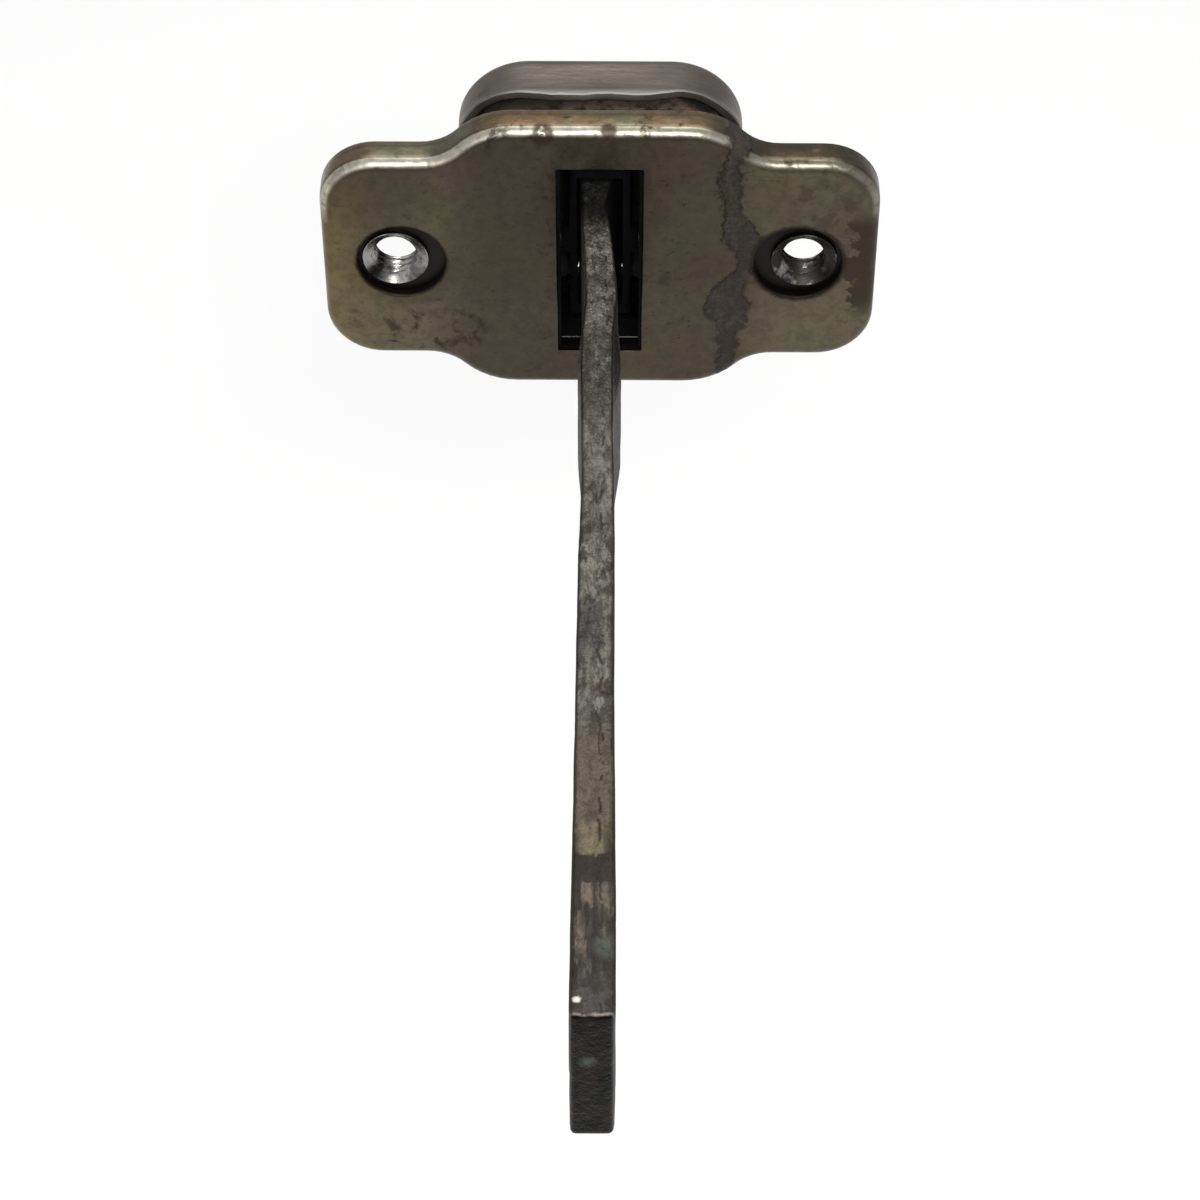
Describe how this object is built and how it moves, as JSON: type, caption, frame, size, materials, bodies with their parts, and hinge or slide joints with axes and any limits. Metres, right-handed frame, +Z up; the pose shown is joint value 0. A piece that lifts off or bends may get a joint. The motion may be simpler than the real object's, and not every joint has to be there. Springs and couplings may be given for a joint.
{
  "type": "vehicle door check",
  "caption": "Vehicle door check: a pitted steel check strap runs out through the slot of a zinc-plated face plate, between sprung rollers in a pressed steel cup.",
  "frame": {"origin": "middle of the front face of the face plate, midway between the two bolts and in the middle of the strap's slot", "axes": "+X along the line of the two bolts, to the right seen from the front; +Y into the door, towards the back of the cup; +Z up, along the height of the strap. The strap runs out along -Y."},
  "size_m": [0.088, 0.1923, 0.0526],
  "materials": {
    "zinc_plate": "yellow-passivated zinc plate, satin and stained",
    "cup_steel": "bare pressed steel, dull grey",
    "nut_steel": "turned and tapped steel, bright in the mouth",
    "strap_steel": "pitted, oil-stained steel",
    "roller_steel": "ground and greased",
    "pin_steel": "drawn steel",
    "bronze": "sintered, oiled",
    "black_nylon": "moulded, greasy",
    "black_rubber": "moulded"
  },
  "bodies": {
    "housing": {"face_plate": "zinc_plate", "housing_cup": "cup_steel", "nut_left": "nut_steel", "nut_right": "nut_steel", "slot_liner": "black_nylon", "spacer_upper": "black_nylon", "spacer_lower": "black_nylon", "rubber_spring_left": "black_rubber", "rubber_spring_right": "black_rubber", "guide_pin_left": "pin_steel", "guide_pin_right": "pin_steel"},
    "guide": {"strap_guide": "black_nylon"},
    "left_carrier_unit": {"carrier_left": "black_nylon", "roller_pin_left": "pin_steel", "thrust_washers_left": "pin_steel"},
    "right_carrier_unit": {"carrier_right": "black_nylon", "roller_pin_right": "pin_steel", "thrust_washers_right": "pin_steel"},
    "left_roller_unit": {"roller_left": "roller_steel", "roller_bushes_left": "bronze"},
    "right_roller_unit": {"roller_right": "roller_steel", "roller_bushes_right": "bronze"},
    "strap": {"check_strap": "strap_steel", "eye_bush": "bronze", "stop_buffer": "black_rubber", "stop_plate": "pin_steel", "stop_pins": "pin_steel"}
  },
  "joints": [
    {"name": "strap_swivel", "type": "hinge", "parent": "housing", "child": "guide", "pos_m": [0, 0.0063, 0], "axis": [1, 0, 0], "range_deg": [-15, 15]},
    {"name": "strap_slide", "type": "slide", "parent": "guide", "child": "strap", "axis": [0, 1, 0], "range_m": [0, 0.1]},
    {"name": "carrier_left_slide", "type": "slide", "parent": "housing", "child": "left_carrier_unit", "axis": [-1, 0, 0], "range_m": [0, 0.0015], "stiffness_N_per_m": 4000, "springref_m": -0.002, "deforming": ["rubber_spring_left"]},
    {"name": "carrier_right_slide", "type": "slide", "parent": "housing", "child": "right_carrier_unit", "axis": [1, 0, 0], "range_m": [0, 0.0015], "stiffness_N_per_m": 4000, "springref_m": -0.002, "deforming": ["rubber_spring_right"]},
    {"name": "roller_left_spin", "type": "hinge", "parent": "left_carrier_unit", "child": "left_roller_unit", "pos_m": [-0.0075, 0.0148, 0], "axis": [0, 0, 1], "continuous": true},
    {"name": "roller_right_spin", "type": "hinge", "parent": "right_carrier_unit", "child": "right_roller_unit", "pos_m": [0.0075, 0.0148, 0], "axis": [0, 0, 1], "continuous": true}
  ],
  "couplings": [
    {"joint": "roller_left_spin", "follows": "strap_slide", "rad_per_m": 250},
    {"joint": "roller_right_spin", "follows": "strap_slide", "rad_per_m": -250}
  ]
}
